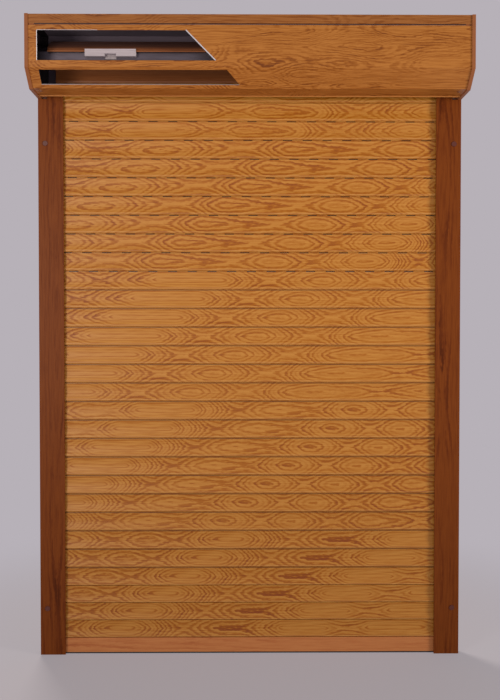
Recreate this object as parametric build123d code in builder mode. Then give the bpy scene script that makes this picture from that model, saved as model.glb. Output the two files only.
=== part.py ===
from build123d import *
from math import acos, asin, atan2, ceil, cos, degrees, hypot, radians, sin, sqrt
import os

os.makedirs("parts", exist_ok=True)

# Window roller shutter: a box with the tube and its drive, two guide rails and a curtain of slats.
# X runs along the width, the front faces -Y, the mounting plane is y = 0 and Z is up.
# The origin is the centre of the four rail fixings on the mounting plane.

# Overall sizes, millimetres
shutter_width = 900.0
rail_length = 1189.0
box_height = 139.4
box_depth = 141.0
slope_height = 33.0
slope_depth = 41.0
overrun = 2.0  # how far a cut runs past the wall that it opens
fit = 0.15  # clearance of one piece seated in another

# Guide rails and their fixings
rail_width = 53.0
rail_depth = 22.0
rail_wall = 1.4
run_depth = 25.0  # depth of the slat channel behind the rail's inner edge
rail_tongue = 9.0  # rail's front wall above the box's underside, behind the cover
mouth_relief = 1.2  # step from the strip's face to the rail's mouth
fixing_low = 100.0  # rail foot to the lower fixing
fixing_height = 995.0
fixing_inset = 15.0  # rail's outer edge to the fixing
fixing_hole = 5.2
cap_hole = 10.0
cap_head = 11.6
cap_rise = 1.3
cap_prong_length = 4.0

# Slat section
slat_pitch = 39.9  # joint to joint with the curtain hanging
slat_play = 2.3  # how far a joint closes when the curtain stands
bead_r = 1.5
socket_clear = 0.3
socket_wall = 1.1
web_thickness = 0.9
lip_gap = 0.35
front_edge = 0.3  # front wall's lower edge above the joint
closed_gap = 1.1  # gap left between two front faces when closed
front_swell = 0.7  # bulge of the socket's front wall
swell_height = 6.4
swell_shares = (0.5, 0.65)  # where the bulge is full, in its height
front_hollow = 1.8  # depth of the hollow front face
rear_bow = 2.1
rear_socket = 5.0  # height of the straight rear wall of the socket
run_gap = 1.0  # slat to guide strip, each side
slat_entry = 16.5  # slat end inside the rail's mouth
turn_rise = 36.1  # last joint of the sliding slats above the box's underside
slot_length = 17.0
slot_height = 0.9
slot_pitch = 42.3
slot_step_share = 0.382  # shift of the slot row from slat to slat, in slot pitches
slotted_count = 4  # upper slats whose light slots are cut

# Bottom bar
bar_wall = 1.3
bar_joint = 37.3  # bar's bead above the rail foot
seal_height = 3.2
seal_key = 3.0
seal_key_width = 4.0
stop_width = 36.0
stop_height = 14.0
stop_inset = 140.0
stop_reach = 4.4
stop_corner = 3.5

# Box sheets and end caps
sheet = 1.2
rim = 2.0  # end cap's edge proud of the sheets
top_rim = 0.4  # the same above the top sheet
cap_edge = 7.0
cap_plate = 2.5
cap_lip = 2.0
cap_lip_length = 12.0
peg_length = 40.0
top_lip = 18.0
tuck = 9.0
tuck_gap = 1.6
cover_end = 43.0  # cover's rear edge in front of the mounting plane
cover_hem = 1.8  # cover's rear edge, folded down
back_foot = 3.0  # back sheet's lower edge above the box's underside
funnel_height = 20.0
funnel_flare = 3.0
funnel_tongue = 14.0

# Windows cut into the front cover, from the left edge of the box
window_left = 24.6
window_top = 32.3
window_height = 59.9
window_run = 295.8
window_slant = 59.1
slope_window_left = 26.5
slope_window_run = 376.5
slope_window_slant = 25.0
slope_window_start = 6.3
slope_window_height = 34.6

# Tube and what carries it
tube_flats = 40.0
tube_wall = 1.0
tube_back = 70.5  # tube axis in front of the mounting plane
tube_rise = 70.5  # tube axis above the box's underside
tube_end_gap = 17.0  # tube end to the inner face of the end cap's plate
plug_length = 50.0
plug_flange = 3.0
pin_diameter = 12.0
bush_diameter = 28.0
bush_length = 9.0
boss_wall = 4.0
boss_length = 12.0
run_clear = 0.3
journal_clear = 0.08  # pin in its bush, all round

# Motor in the tube's right end
motor_diameter = 35.0
motor_length = 340.0
motor_shaft = 10.0
wheel_width = 16.0
crown_width = 14.0
head_diameter = 38.0
head_length = 7.0
stub_width = 10.0
bracket_width = 62.0
bracket_thickness = 3.0
bracket_corner = 8.0

# Hangers between the tube and the first slat
hanger_inset = 165.0  # from the edge of the box
clip_stand = 6.6  # clip's joint before the tube's front face
clip_lift = 7.7  # clip's joint above the tube's axis
lay_gap = 1.75  # middle of the first slat off the tube's edge that it lies over
clip_length = 104.0
clip_height = 14.6
clip_drop = 11.1  # clip's lower edge below the joint that it holds
clip_notch = 5.2  # notch that shows the strap in the clip's lower edge
clip_rib = 1.2
clip_rib_depth = 0.8
clip_front = 3.6  # clip's front face before the joint that it holds
strap_width = 22.5
strap_thickness = 0.8
strap_slot = 3.0
strap_hook = 4.0
strap_drop = 15.0  # slot's place below the upper edge of the tube's front face
slot_margin = 0.5

# Levels and places worked out from the sizes above
half_width = shutter_width / 2
foot_z = -(fixing_low + fixing_height / 2)
box_z = foot_z + rail_length
top_z = box_z + box_height
socket_r = bead_r + socket_clear
wall_r = socket_r + socket_wall
slat_front = wall_r + front_swell
slat_rear = wall_r + rear_bow
curtain_y = -(rail_depth + slat_rear - slat_front) / 2
front_run = curtain_y - slat_front - run_gap
rear_run = curtain_y + slat_rear + run_gap
mouth_x = half_width - rail_width
slat_length = 2 * (mouth_x + slat_entry)
sheet_length = shutter_width - 2 * cap_edge
lip_inset = rim + sheet + fit
sheet_top = top_z - top_rim
sheet_front = -(box_depth - rim)
tube_y = -tube_back
tube_z = box_z + tube_rise
tube_left = -half_width + cap_plate + tube_end_gap
tube_right = half_width - cap_plate - tube_end_gap
tube_inner = tube_flats - 2 * tube_wall
slope_length = hypot(slope_height, slope_depth)
ledge_drop = slat_play + closed_gap - front_edge
lip_reach = wall_r + slat_play + socket_clear
octagon_sides = 8
octagon_share = sqrt(2) - 1  # half a side of an octagon, in its inner radius
hanger_place = half_width - hanger_inset

# Slats that slide in the rails, and the height that their joints close by
hang_height = rail_length + turn_rise - bar_joint
slat_count = ceil(hang_height / slat_pitch)
slack = slat_count * slat_pitch - hang_height
slot_count = int((slat_length - slot_length) / slot_pitch)

# Lean of the slats at the turn: the first slat lies over the tube's edge, two more reach the upright one
tube_face = tube_flats * octagon_share
clip_y = tube_y - tube_flats / 2 - clip_stand
clip_z = tube_z + clip_lift
edge_back = tube_y - tube_face / 2 - clip_y
edge_rise = tube_z + tube_flats / 2 - clip_z
lay_turn = atan2(edge_rise, edge_back) + asin(lay_gap / hypot(edge_back, edge_rise))
turn_fall = curtain_y - clip_y - slat_pitch * cos(lay_turn)
turn_climb = clip_z + slat_pitch * sin(lay_turn) - box_z - turn_rise - slat_pitch
chord_lean = degrees(atan2(turn_fall, turn_climb))
turn_spread = degrees(acos(hypot(turn_fall, turn_climb) / (2 * slat_pitch)))
turn_angles = (0, chord_lean - turn_spread, chord_lean + turn_spread)
top_angle = 90 + degrees(lay_turn)


def across(x):
    """Section plane at a place along the width: sketch X is +Y, sketch Y is up."""
    return Plane(origin=(x, 0, 0), x_dir=(0, 1, 0), z_dir=(1, 0, 0))


def front_plane(y):
    """Plane that faces the front: sketch X is +X, sketch Y is up."""
    return Plane(origin=(0, y, 0), x_dir=(1, 0, 0), z_dir=(0, -1, 0))


def slat_plane(place, lean):
    """Section plane of a slat at its lower joint (y, z), its top leaning forward by lean degrees."""
    y, z = place
    turn = radians(lean)
    return Plane(
        origin=(-slat_length / 2, y, z),
        x_dir=(0, cos(turn), sin(turn)),
        z_dir=(1, 0, 0),
    )


def next_joint(place, lean):
    """Upper joint of a slat with its lower joint at place."""
    y, z = place
    turn = radians(lean)
    return (y - slat_pitch * sin(turn), z + slat_pitch * cos(turn))


def octagon(inner_r):
    """Eight-sided outline about an inner circle, with flat sides above, below, before and behind."""
    with BuildSketch() as outline:
        RegularPolygon(inner_r, octagon_sides, major_radius=False, rotation=180 / octagon_sides)
    return outline.sketch


def slat_section():
    """Slat drawn about its lower joint, front to -X: bead above, socket with its lip below."""
    neck = web_thickness / 2
    bead_side = bead_r * octagon_share
    bead_low = slat_pitch - bead_r
    socket_side = socket_r * octagon_share
    wall_side = wall_r * octagon_share
    socket_top = slat_play + socket_r
    front_ledge = slat_pitch - ledge_drop
    rear_ledge = slat_pitch - lip_reach
    lip_x = neck + lip_gap
    hollow_foot = (-wall_r, swell_height)
    hollow_top = (-wall_r, front_ledge)
    rear_foot = (wall_r, rear_socket)
    rear_top = (wall_r, rear_ledge)
    with BuildSketch() as section:
        with BuildLine():
            Polyline(
                (-socket_r, front_edge),
                (-wall_r, front_edge),
                *[(-slat_front, swell_height * share) for share in swell_shares],
                hollow_foot,
            )
            hollow_z = (front_ledge + swell_height) / 2
            ThreePointArc(hollow_foot, (front_hollow - wall_r, hollow_z), hollow_top)
            Polyline(
                hollow_top,
                (-neck, front_ledge),
                (-neck, bead_low),
                (-bead_r, slat_pitch - bead_side),
                (-bead_r, slat_pitch + bead_side),
                (-bead_side, slat_pitch + bead_r),
                (bead_side, slat_pitch + bead_r),
                (bead_r, slat_pitch + bead_side),
                (bead_r, slat_pitch - bead_side),
                (neck, bead_low),
                (neck, rear_ledge),
                rear_top,
            )
            ThreePointArc(rear_top, (slat_rear, (rear_ledge + rear_socket) / 2), rear_foot)
            Polyline(
                rear_foot,
                (wall_r, -wall_side),
                (wall_side, -wall_r),
                (lip_x, -wall_r),
                (lip_x, -socket_r),
                (socket_side, -socket_r),
                (socket_r, -socket_side),
                (socket_r, slat_play + socket_side),
                (socket_side, socket_top),
                (-socket_side, socket_top),
                (-socket_r, slat_play + socket_side),
                (-socket_r, front_edge),
            )
        make_face()
    return section.sketch


def box_outline(top, inset):
    """Outline of the box up to a top level, moved in by inset."""
    with BuildSketch() as outline:
        with BuildLine():
            Polyline(
                (0, box_z),
                (0, top),
                (-box_depth, top),
                (-box_depth, box_z + slope_height),
                (-box_depth + slope_depth, box_z),
                close=True,
            )
        make_face()
        if inset > 0:
            offset(amount=-inset, kind=Kind.INTERSECTION)
    return outline.sketch


# Slats that slide in the rails, numbered from the bottom
slat_face = slat_section()
joint_z = foot_z + bar_joint
for number in range(1, slat_count + 1):
    closed_by = min(slat_play, max(0, slack - (number - 1) * slat_play))
    place = (curtain_y, joint_z - closed_by)
    with BuildPart() as slat:
        with BuildSketch(slat_plane(place, 0)):
            add(slat_face)
        extrude(amount=slat_length)
        if number > slat_count - slotted_count:
            slot_shift = (number * slot_step_share % 1 - 0.5) * (slot_pitch - slot_length)
            light_z = place[1] + slat_pitch - (ledge_drop + bead_r) / 2
            with BuildSketch(front_plane(curtain_y)):
                with Locations((slot_shift, light_z)):
                    with GridLocations(slot_pitch, 0, slot_count, 1):
                        Rectangle(slot_length, slot_height)
            extrude(amount=web_thickness, both=True, mode=Mode.SUBTRACT)
    slat.part.label = f"slat_{number:02d}"
    export_step(slat.part, f"parts/slat_{number:02d}.step")
    joint_z = place[1] + slat_pitch

# Slats between the rails and the tube, at the turn inside the box
turn_place = (curtain_y, joint_z)
with BuildPart() as turning_slats:
    for lean in turn_angles:
        with BuildSketch(slat_plane(turn_place, lean)):
            add(slat_face)
        extrude(amount=slat_length)
        turn_place = next_joint(turn_place, lean)
turning_slats.part.label = "turning_slats"
export_step(turning_slats.part, "parts/turning_slats.step")

# First slat of the curtain, lying over the tube
with BuildPart() as top_slat:
    with BuildSketch(slat_plane(turn_place, top_angle)):
        add(slat_face)
    extrude(amount=slat_length)
top_slat.part.label = "top_slat"
export_step(top_slat.part, "parts/top_slat.step")

# Bottom bar: a hollow section with the slats' bead on top and a groove for the seal below
bar_top = bar_joint - ledge_drop
bar_step = lip_reach - ledge_drop
with BuildPart() as bottom_bar:
    with BuildSketch(across(-slat_length / 2)):
        with Locations((curtain_y, foot_z)):
            with Locations(((slat_rear - slat_front) / 2, (bar_top + seal_height) / 2)):
                Rectangle(slat_front + slat_rear, bar_top - seal_height)
                Rectangle(
                    slat_front + slat_rear - 2 * bar_wall,
                    bar_top - seal_height - 2 * (bar_step + bar_wall),
                    mode=Mode.SUBTRACT,
                )
            with Locations(((web_thickness / 2 + slat_rear) / 2, bar_top - bar_step / 2)):
                Rectangle(slat_rear - web_thickness / 2, bar_step, mode=Mode.SUBTRACT)
            with Locations((0, (bar_top + bar_joint) / 2)):
                Rectangle(web_thickness, bar_joint - bar_top)
            with Locations((0, bar_joint)):
                add(octagon(bead_r))
            with Locations(((slat_rear - slat_front) / 2, seal_height + seal_key / 2)):
                Rectangle(seal_key_width, seal_key, mode=Mode.SUBTRACT)
    extrude(amount=slat_length)
bottom_bar.part.label = "bottom_bar"
export_step(bottom_bar.part, "parts/bottom_bar.step")

# Rubber seal under the bar, its key in the bar's groove
with BuildPart() as bottom_seal:
    with BuildSketch(across(-slat_length / 2)):
        with Locations((curtain_y + (slat_rear - slat_front) / 2, foot_z)):
            with Locations((0, seal_height / 2)):
                Rectangle(slat_front + slat_rear - 2 * bar_wall, seal_height)
            with Locations((0, seal_height + (seal_key - fit) / 2)):
                Rectangle(seal_key_width - 2 * fit, seal_key - fit)
    extrude(amount=slat_length)
bottom_seal.part.label = "bottom_seal"
export_step(bottom_seal.part, "parts/bottom_seal.step")

# Two end stops on the bar's rear face
with BuildPart() as bar_stops:
    with BuildSketch(front_plane(curtain_y + slat_rear)) as stop_face:
        with Locations((0, foot_z + seal_height + stop_height / 2)):
            with GridLocations(slat_length - 2 * stop_inset, 0, 2, 1):
                Rectangle(stop_width, stop_height)
        chamfer(stop_face.vertices(), stop_corner)
    extrude(amount=-stop_reach)
bar_stops.part.label = "bar_stops"
export_step(bar_stops.part, "parts/bar_stops.step")

# Guide rails with their strips and inlet funnels, one set each side
strip_length = rail_length - funnel_tongue - fit
strip_depth = run_depth / 2
tongue_width = rail_width - cap_edge - cap_lip_length - 2 * fit
for side, hand in ((-1, "left"), (1, "right")):
    chamber_width = rail_width - run_depth - 2 * rail_wall
    with BuildPart() as guide_rail:
        with BuildSketch(Plane.XY.offset(foot_z)):
            with Locations((side * (half_width - rail_width / 2), -rail_depth / 2)):
                Rectangle(rail_width, rail_depth)
            with Locations((side * (half_width - rail_wall - chamber_width / 2), -rail_depth / 2)):
                Rectangle(chamber_width, rail_depth - 2 * rail_wall, mode=Mode.SUBTRACT)
            with Locations((side * (mouth_x + (run_depth + rail_wall) / 2), -rail_depth / 2)):
                Rectangle(run_depth - rail_wall, rail_depth - 2 * rail_wall, mode=Mode.SUBTRACT)
            with Locations((side * (mouth_x + rail_wall / 2), (front_run + rear_run) / 2)):
                Rectangle(rail_wall * 2, rear_run - front_run + 2 * mouth_relief, mode=Mode.SUBTRACT)
        extrude(amount=rail_length)
        with BuildSketch(Plane.XY.offset(box_z)):
            with Locations((side * (mouth_x + tongue_width / 2), (rail_wall - 2 * rail_depth) / 2)):
                Rectangle(tongue_width, rail_wall)
        extrude(amount=rail_tongue)
        with BuildSketch(front_plane(-rail_depth)):
            with Locations((side * (half_width - fixing_inset), 0)):
                with GridLocations(0, fixing_height, 1, 2):
                    add(octagon(cap_hole / 2))
        extrude(amount=-rail_wall - overrun, mode=Mode.SUBTRACT)
        with BuildSketch(front_plane(0)):
            with Locations((side * (half_width - fixing_inset), 0)):
                with GridLocations(0, fixing_height, 1, 2):
                    Circle(fixing_hole / 2)
        extrude(amount=rail_wall + overrun, mode=Mode.SUBTRACT)
    guide_rail.part.label = f"guide_rail_{hand}"
    export_step(guide_rail.part, f"parts/guide_rail_{hand}.step")

    with BuildPart() as guide_strips:
        front_strip = front_run + rail_depth - rail_wall
        rear_strip = -rear_run - rail_wall
        strip_x = side * (mouth_x + rail_wall + strip_depth / 2)
        with BuildSketch(Plane.XY.offset(foot_z)):
            with Locations((strip_x, front_run - front_strip / 2)):
                Rectangle(strip_depth, front_strip)
            with Locations((strip_x, rear_run + rear_strip / 2)):
                Rectangle(strip_depth, rear_strip)
        extrude(amount=strip_length)
    guide_strips.part.label = f"guide_strips_{hand}"
    export_step(guide_strips.part, f"parts/guide_strips_{hand}.step")

    with BuildPart() as inlet_funnel:
        funnel_back = -(rim + sheet + fit)
        funnel_depth = rail_depth + funnel_back - rail_wall - fit
        funnel_width = run_depth - rail_wall - fit
        funnel_x = side * (mouth_x + rail_wall + funnel_width / 2)
        with BuildSketch(Plane.XY.offset(box_z)):
            with Locations((funnel_x, funnel_back - funnel_depth / 2)):
                Rectangle(funnel_width, funnel_depth)
        extrude(amount=funnel_height)
        with BuildSketch(across(side * (mouth_x + rail_wall))):
            with BuildLine():
                Polyline(
                    (front_run, box_z),
                    (rear_run, box_z),
                    (rear_run + funnel_flare, box_z + funnel_height),
                    (front_run - funnel_flare, box_z + funnel_height),
                    close=True,
                )
            make_face()
        extrude(amount=side * (funnel_width - rail_wall), mode=Mode.SUBTRACT)
        with BuildSketch(Plane.XY.offset(box_z - funnel_tongue)):
            with Locations((strip_x, front_run - front_strip / 2)):
                Rectangle(strip_depth, front_strip - fit)
            with Locations((strip_x, rear_run + rear_strip / 2)):
                Rectangle(strip_depth, rear_strip - fit)
        extrude(amount=funnel_tongue)
    inlet_funnel.part.label = f"inlet_funnel_{hand}"
    export_step(inlet_funnel.part, f"parts/inlet_funnel_{hand}.step")

# Cover caps in the rails' access holes
with BuildPart() as rail_caps:
    with BuildSketch(front_plane(-rail_depth)):
        with GridLocations(shutter_width - 2 * fixing_inset, fixing_height, 2, 2):
            Circle(cap_head / 2)
    extrude(amount=cap_rise, taper=25)
    with BuildSketch(front_plane(-rail_depth)):
        with GridLocations(shutter_width - 2 * fixing_inset, fixing_height, 2, 2):
            add(octagon(cap_hole / 2 - fit))
    extrude(amount=-cap_prong_length)
rail_caps.part.label = "rail_caps"
export_step(rail_caps.part, "parts/rail_caps.step")

# End caps: a plate with a raised edge, a lip that the sheets sit on and a peg in the rail
bracket_x = half_width - cap_plate - boss_length
pad_width = bracket_width - 2 * bracket_corner
for side, hand in ((-1, "left"), (1, "right")):
    with BuildPart() as end_cap:
        with BuildSketch(across(side * half_width)):
            add(box_outline(top_z, 0))
        extrude(amount=-side * cap_edge)
        with BuildSketch(across(side * (half_width - cap_plate))):
            add(box_outline(sheet_top + rim, lip_inset + cap_lip))
        extrude(amount=-side * (cap_edge - cap_plate), mode=Mode.SUBTRACT)
        with BuildSketch(across(side * (half_width - cap_edge))):
            add(box_outline(sheet_top + rim, lip_inset))
        extrude(amount=-side * cap_lip_length)
        with BuildSketch(across(side * (half_width - cap_edge))):
            add(box_outline(sheet_top + rim, lip_inset + cap_lip))
        extrude(amount=-side * cap_lip_length, mode=Mode.SUBTRACT)
        with BuildSketch(Plane.XY.offset(box_z)):
            with Locations((side * (half_width - rail_wall - chamber_width / 2), -rail_depth / 2)):
                Rectangle(chamber_width - 2 * fit, rail_depth - 2 * (rail_wall + fit))
        extrude(amount=-peg_length)
        with BuildSketch(across(side * (half_width - cap_plate))):
            with Locations((tube_y, tube_z)):
                if side < 0:
                    add(octagon(bush_diameter / 2 + boss_wall))
                    add(octagon(bush_diameter / 2), mode=Mode.SUBTRACT)
                else:
                    Rectangle(pad_width, pad_width)
                    Rectangle(pad_width - 2 * boss_wall, pad_width - 2 * boss_wall, mode=Mode.SUBTRACT)
        extrude(amount=-side * boss_length)
    end_cap.part.label = f"end_cap_{hand}"
    export_step(end_cap.part, f"parts/end_cap_{hand}.step")

# Folded sheet that makes the back, the top and the lip above the cover
with BuildPart() as top_back_sheet:
    with BuildSketch(across(-sheet_length / 2)):
        with BuildLine():
            Polyline(
                (-rim, box_z + back_foot),
                (-rim, sheet_top),
                (sheet_front, sheet_top),
                (sheet_front, sheet_top - top_lip),
            )
            offset(amount=sheet, side=Side.LEFT, kind=Kind.INTERSECTION)
        make_face()
    extrude(amount=sheet_length)
top_back_sheet.part.label = "top_back_sheet"
export_step(top_back_sheet.part, "parts/top_back_sheet.step")

# Front cover, folded to the sloped front, tucked behind the lip and cut open at the left
tuck_y = sheet_front + sheet + fit
cover_top = sheet_top - top_lip - tuck_gap
slope_turn = rim * (slope_length - slope_height) / slope_depth
corner = (sheet_front, box_z + slope_height + slope_turn)
foot_turn = rim * (slope_length - slope_depth) / slope_height
corner_foot = (-box_depth + slope_depth + foot_turn, box_z + rim)
with BuildPart() as front_cover:
    with BuildSketch(across(-sheet_length / 2)):
        with BuildLine():
            Polyline(
                (tuck_y, cover_top + tuck_gap + tuck),
                (tuck_y, cover_top),
                (sheet_front, cover_top - tuck_gap),
                corner,
                corner_foot,
                (-cover_end, box_z + rim),
                (-cover_end, box_z + rim - cover_hem),
            )
            offset(amount=sheet, side=Side.LEFT, kind=Kind.INTERSECTION)
        make_face()
    extrude(amount=sheet_length)
    notch = cap_lip_length + fit
    notch_height = tuck + 2 * tuck_gap + sheet
    with BuildSketch(front_plane(sheet_front)):
        with Locations((0, cover_top - tuck_gap - sheet + notch_height / 2)):
            with GridLocations(sheet_length - notch, 0, 2, 1):
                Rectangle(notch, notch_height)
    extrude(amount=-(lip_inset + cap_lip), mode=Mode.SUBTRACT)
    window_x = -half_width + window_left
    window_z = top_z - window_top
    with BuildSketch(front_plane(-box_depth)):
        with BuildLine():
            Polyline(
                (window_x, window_z),
                (window_x + window_run, window_z),
                (window_x + window_run + window_slant, window_z - window_height),
                (window_x, window_z - window_height),
                close=True,
            )
        make_face()
    extrude(amount=-rim - sheet - overrun, mode=Mode.SUBTRACT)
    slope_plane = Plane(
        origin=(0, corner[0], corner[1]),
        x_dir=(1, 0, 0),
        z_dir=(0, -slope_height, -slope_depth),
    )
    slope_x = -half_width + slope_window_left
    slope_window_end = slope_window_start + slope_window_height
    with BuildSketch(slope_plane):
        with BuildLine():
            Polyline(
                (slope_x, -slope_window_start),
                (slope_x + slope_window_run, -slope_window_start),
                (slope_x + slope_window_run + slope_window_slant, -slope_window_end),
                (slope_x, -slope_window_end),
                close=True,
            )
        make_face()
    extrude(amount=sheet + overrun, both=True, mode=Mode.SUBTRACT)
front_cover.part.label = "front_cover"
export_step(front_cover.part, "parts/front_cover.step")

# Eight-sided tube with a slot for each hanger strap in its front face
slot_z = tube_z + tube_face / 2 - strap_drop
with BuildPart() as roller_tube:
    with BuildSketch(across(tube_left)):
        with Locations((tube_y, tube_z)):
            add(octagon(tube_flats / 2))
            add(octagon(tube_inner / 2), mode=Mode.SUBTRACT)
    extrude(amount=tube_right - tube_left)
    with BuildSketch(front_plane(tube_y - tube_flats / 2)):
        with Locations((0, slot_z)):
            with GridLocations(2 * hanger_place, 0, 2, 1):
                Rectangle(strap_width + 2 * slot_margin, strap_slot)
    extrude(amount=-tube_wall - overrun, mode=Mode.SUBTRACT)
roller_tube.part.label = "roller_tube"
export_step(roller_tube.part, "parts/roller_tube.step")

# Plug in the tube's left end with the pin that turns in the bush
with BuildPart() as tube_plug:
    with BuildSketch(across(tube_left)):
        with Locations((tube_y, tube_z)):
            add(octagon(tube_inner / 2 - fit))
    extrude(amount=plug_length)
    with BuildSketch(across(tube_left)):
        with Locations((tube_y, tube_z)):
            add(octagon(tube_flats / 2))
    extrude(amount=-plug_flange)
    with BuildSketch(across(tube_left - plug_flange)):
        with Locations((tube_y, tube_z)):
            Circle(pin_diameter / 2)
    extrude(amount=-(tube_end_gap - plug_flange - run_clear))
tube_plug.part.label = "tube_plug"
export_step(tube_plug.part, "parts/tube_plug.step")

# Bush for the pin, in the left end cap's boss
with BuildPart() as bearing_bush:
    with BuildSketch(across(-half_width + cap_plate + boss_length - bush_length)):
        with Locations((tube_y, tube_z)):
            add(octagon(bush_diameter / 2))
            Circle(pin_diameter / 2 + journal_clear, mode=Mode.SUBTRACT)
    extrude(amount=bush_length)
bearing_bush.part.label = "bearing_bush"
export_step(bearing_bush.part, "parts/bearing_bush.step")

# Motor body with its output shaft, standing still inside the tube
motor_end = tube_right - motor_length
with BuildPart() as motor_body:
    with BuildSketch(across(motor_end)):
        with Locations((tube_y, tube_z)):
            Circle(motor_diameter / 2)
    extrude(amount=motor_length + run_clear)
    with BuildSketch(across(motor_end)):
        with Locations((tube_y, tube_z)):
            Circle(motor_shaft / 2)
    extrude(amount=-wheel_width - run_clear)
motor_body.part.label = "motor_body"
export_step(motor_body.part, "parts/motor_body.step")

# Drive wheel on the motor's shaft, its eight sides in the tube
with BuildPart() as drive_wheel:
    with BuildSketch(across(motor_end - run_clear)):
        with Locations((tube_y, tube_z)):
            add(octagon(tube_inner / 2 - fit))
            Circle(motor_shaft / 2 + run_clear / 2, mode=Mode.SUBTRACT)
    extrude(amount=-wheel_width)
drive_wheel.part.label = "drive_wheel"
export_step(drive_wheel.part, "parts/drive_wheel.step")

# Crown ring that carries the tube on the motor's other end
with BuildPart() as motor_crown:
    with BuildSketch(across(tube_right - crown_width)):
        with Locations((tube_y, tube_z)):
            add(octagon(tube_inner / 2 - fit))
            Circle(motor_diameter / 2 + run_clear / 2, mode=Mode.SUBTRACT)
    extrude(amount=crown_width)
motor_crown.part.label = "motor_crown"
export_step(motor_crown.part, "parts/motor_crown.step")

# Motor head beyond the tube's end, with a square stub in the bracket
with BuildPart() as motor_head:
    with BuildSketch(across(tube_right + run_clear)):
        with Locations((tube_y, tube_z)):
            Circle(head_diameter / 2)
    extrude(amount=bracket_x - bracket_thickness - tube_right - run_clear)
    with BuildSketch(across(bracket_x - bracket_thickness)):
        with Locations((tube_y, tube_z)):
            Rectangle(stub_width, stub_width)
    extrude(amount=head_length)
motor_head.part.label = "motor_head"
export_step(motor_head.part, "parts/motor_head.step")

# Bracket plate that holds the motor's stub on the right end cap
with BuildPart() as motor_bracket:
    with BuildSketch(across(bracket_x)) as bracket_face:
        with Locations((tube_y, tube_z)):
            Rectangle(bracket_width, bracket_width)
        chamfer(bracket_face.vertices(), bracket_corner)
        with Locations((tube_y, tube_z)):
            Rectangle(stub_width + 2 * fit, stub_width + 2 * fit, mode=Mode.SUBTRACT)
    extrude(amount=-bracket_thickness)
motor_bracket.part.label = "motor_bracket"
export_step(motor_bracket.part, "parts/motor_bracket.step")

# Hangers: a spring strap hooked into the tube and a ribbed clip that grips the first slat's bead
strap_y = tube_y - tube_flats / 2 - fit
clip_back = strap_y - strap_thickness
hook_reach = tube_wall + 2 * fit
clip_face = clip_y - clip_front
for place, hand in ((-hanger_place, "left"), (hanger_place, "right")):
    with BuildPart() as hanger_strap:
        with BuildSketch(across(place - strap_width / 2)):
            with BuildLine():
                Polyline(
                    (strap_y, clip_z),
                    (strap_y, slot_z),
                    (strap_y + hook_reach, slot_z),
                    (strap_y + hook_reach, slot_z + strap_hook),
                )
                offset(amount=strap_thickness, side=Side.RIGHT, kind=Kind.INTERSECTION)
            make_face()
        extrude(amount=strap_width)
    hanger_strap.part.label = f"hanger_strap_{hand}"
    export_step(hanger_strap.part, f"parts/hanger_strap_{hand}.step")

    with BuildPart() as hanger_clip:
        with BuildSketch(across(place - clip_length / 2)):
            with Locations(((clip_face + clip_back) / 2, clip_z - clip_drop + clip_height / 2)):
                Rectangle(clip_back - clip_face, clip_height)
            with Locations((clip_face, clip_z - clip_drop + clip_height / 2)):
                with GridLocations(0, clip_height / 4, 1, 3):
                    Rectangle(2 * clip_rib_depth, clip_rib, mode=Mode.SUBTRACT)
            with Locations((clip_y, clip_z)):
                add(octagon(socket_r), mode=Mode.SUBTRACT)
            with Locations(Location((clip_y, clip_z, 0), (0, 0, top_angle))):
                with Locations((0, -slat_pitch / 2 - ledge_drop + socket_clear)):
                    Rectangle(slat_pitch, slat_pitch, mode=Mode.SUBTRACT)
                with Locations((0, -ledge_drop / 2)):
                    Rectangle(web_thickness + 2 * lip_gap, ledge_drop, mode=Mode.SUBTRACT)
        extrude(amount=clip_length)
        with BuildSketch(front_plane(clip_face)):
            with Locations((place, clip_z - clip_drop + clip_notch / 2)):
                Rectangle(strap_width + 2 * slot_margin, clip_notch)
        extrude(amount=clip_face - clip_back, mode=Mode.SUBTRACT)
    hanger_clip.part.label = f"hanger_clip_{hand}"
    export_step(hanger_clip.part, f"parts/hanger_clip_{hand}.step")
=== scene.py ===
from math import atan2, cos, pi, radians, sin, sqrt

import bmesh
import bpy
from mathutils import Matrix, Vector


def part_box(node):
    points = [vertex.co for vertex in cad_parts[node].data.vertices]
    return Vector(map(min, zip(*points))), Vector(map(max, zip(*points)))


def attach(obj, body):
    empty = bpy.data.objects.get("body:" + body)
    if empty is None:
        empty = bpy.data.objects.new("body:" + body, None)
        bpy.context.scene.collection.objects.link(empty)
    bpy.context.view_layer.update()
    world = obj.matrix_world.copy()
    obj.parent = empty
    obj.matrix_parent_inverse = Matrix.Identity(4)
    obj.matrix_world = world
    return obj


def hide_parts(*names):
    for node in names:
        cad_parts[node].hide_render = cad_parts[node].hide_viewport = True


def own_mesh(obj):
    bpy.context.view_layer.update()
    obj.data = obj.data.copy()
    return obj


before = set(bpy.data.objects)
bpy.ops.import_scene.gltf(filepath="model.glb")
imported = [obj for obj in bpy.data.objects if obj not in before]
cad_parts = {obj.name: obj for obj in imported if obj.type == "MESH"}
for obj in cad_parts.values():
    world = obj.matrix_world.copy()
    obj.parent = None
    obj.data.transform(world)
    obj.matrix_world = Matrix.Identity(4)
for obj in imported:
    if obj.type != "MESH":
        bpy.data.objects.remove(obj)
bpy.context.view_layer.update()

MM = 0.001
scene = bpy.context.scene
scene.view_settings.view_transform = "Standard"

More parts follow.
